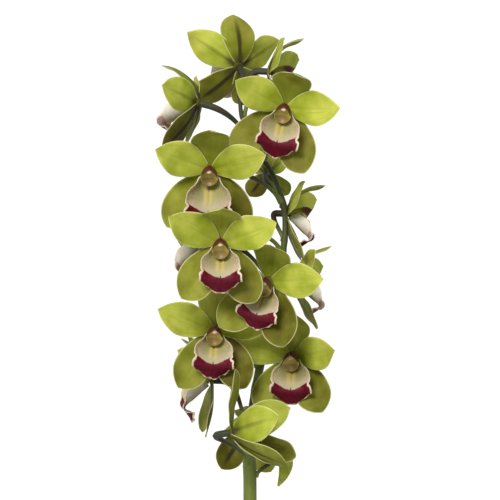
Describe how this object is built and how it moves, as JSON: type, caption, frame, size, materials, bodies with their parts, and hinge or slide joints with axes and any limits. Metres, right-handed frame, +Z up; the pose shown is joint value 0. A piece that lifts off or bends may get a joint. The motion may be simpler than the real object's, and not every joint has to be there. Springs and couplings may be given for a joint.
{
  "type": "potted orchid",
  "caption": "Potted cymbidium orchid: an upright flower spike of green blooms with cream and maroon lips above strap leaves, in a plain round pot.",
  "frame": {"origin": "centre of the pot's underside", "axes": "+Z up along the flower spike; -Y is the side most flowers face; +X to the right seen from that side"},
  "size_m": [0.5643, 0.481, 0.8458],
  "materials": {
    "pot_ceramic": "plain off-white glaze, satin",
    "bark": "damp bark chips, matt brown",
    "pseudobulb_green": "green, faintly ribbed, satin",
    "leaf_green": "dark green strap leaves, satin, parallel veins",
    "stem_green": "green flower stem, darker towards its top",
    "tepal_green": "waxy yellow-green with pale edges and faint veins",
    "lip_cream_and_red": "cream lip with a maroon band on its front lobe",
    "bract_tan": "papery bract, straw and green"
  },
  "bodies": {
    "root": {"pot": "pot_ceramic", "bark_mix": "bark", "pseudobulb_left": "pseudobulb_green", "pseudobulb_right": "pseudobulb_green", "pseudobulb_front": "pseudobulb_green", "leaf_fan_left": "leaf_green", "leaf_fan_right": "leaf_green", "leaf_fan_front": "leaf_green", "flower_spike_stem": "stem_green", "stem_bract_lower": "bract_tan", "stem_bract_upper": "bract_tan", "bud": "tepal_green", "flower_01_tepals": "tepal_green", "flower_01_lip": "lip_cream_and_red", "flower_01_stalk": "tepal_green", "flower_02_tepals": "tepal_green", "flower_02_lip": "lip_cream_and_red", "flower_02_stalk": "tepal_green", "flower_03_tepals": "tepal_green", "flower_03_lip": "lip_cream_and_red", "flower_03_stalk": "tepal_green", "flower_04_tepals": "tepal_green", "flower_04_lip": "lip_cream_and_red", "flower_04_stalk": "tepal_green", "flower_05_tepals": "tepal_green", "flower_05_lip": "lip_cream_and_red", "flower_05_stalk": "tepal_green", "flower_06_tepals": "tepal_green", "flower_06_lip": "lip_cream_and_red", "flower_06_stalk": "tepal_green", "flower_07_tepals": "tepal_green", "flower_07_lip": "lip_cream_and_red", "flower_07_stalk": "tepal_green", "flower_08_tepals": "tepal_green", "flower_08_lip": "lip_cream_and_red", "flower_08_stalk": "tepal_green", "flower_09_tepals": "tepal_green", "flower_09_lip": "lip_cream_and_red", "flower_09_stalk": "tepal_green", "flower_10_tepals": "tepal_green", "flower_10_lip": "lip_cream_and_red", "flower_10_stalk": "tepal_green", "flower_11_tepals": "tepal_green", "flower_11_lip": "lip_cream_and_red", "flower_11_stalk": "tepal_green", "flower_12_tepals": "tepal_green", "flower_12_lip": "lip_cream_and_red", "flower_12_stalk": "tepal_green", "flower_13_tepals": "tepal_green", "flower_13_lip": "lip_cream_and_red", "flower_13_stalk": "tepal_green", "flower_14_tepals": "tepal_green", "flower_14_lip": "lip_cream_and_red", "flower_14_stalk": "tepal_green", "flower_15_tepals": "tepal_green", "flower_15_lip": "lip_cream_and_red", "flower_15_stalk": "tepal_green", "flower_16_tepals": "tepal_green", "flower_16_lip": "lip_cream_and_red", "flower_16_stalk": "tepal_green"}
  },
  "joints": []
}
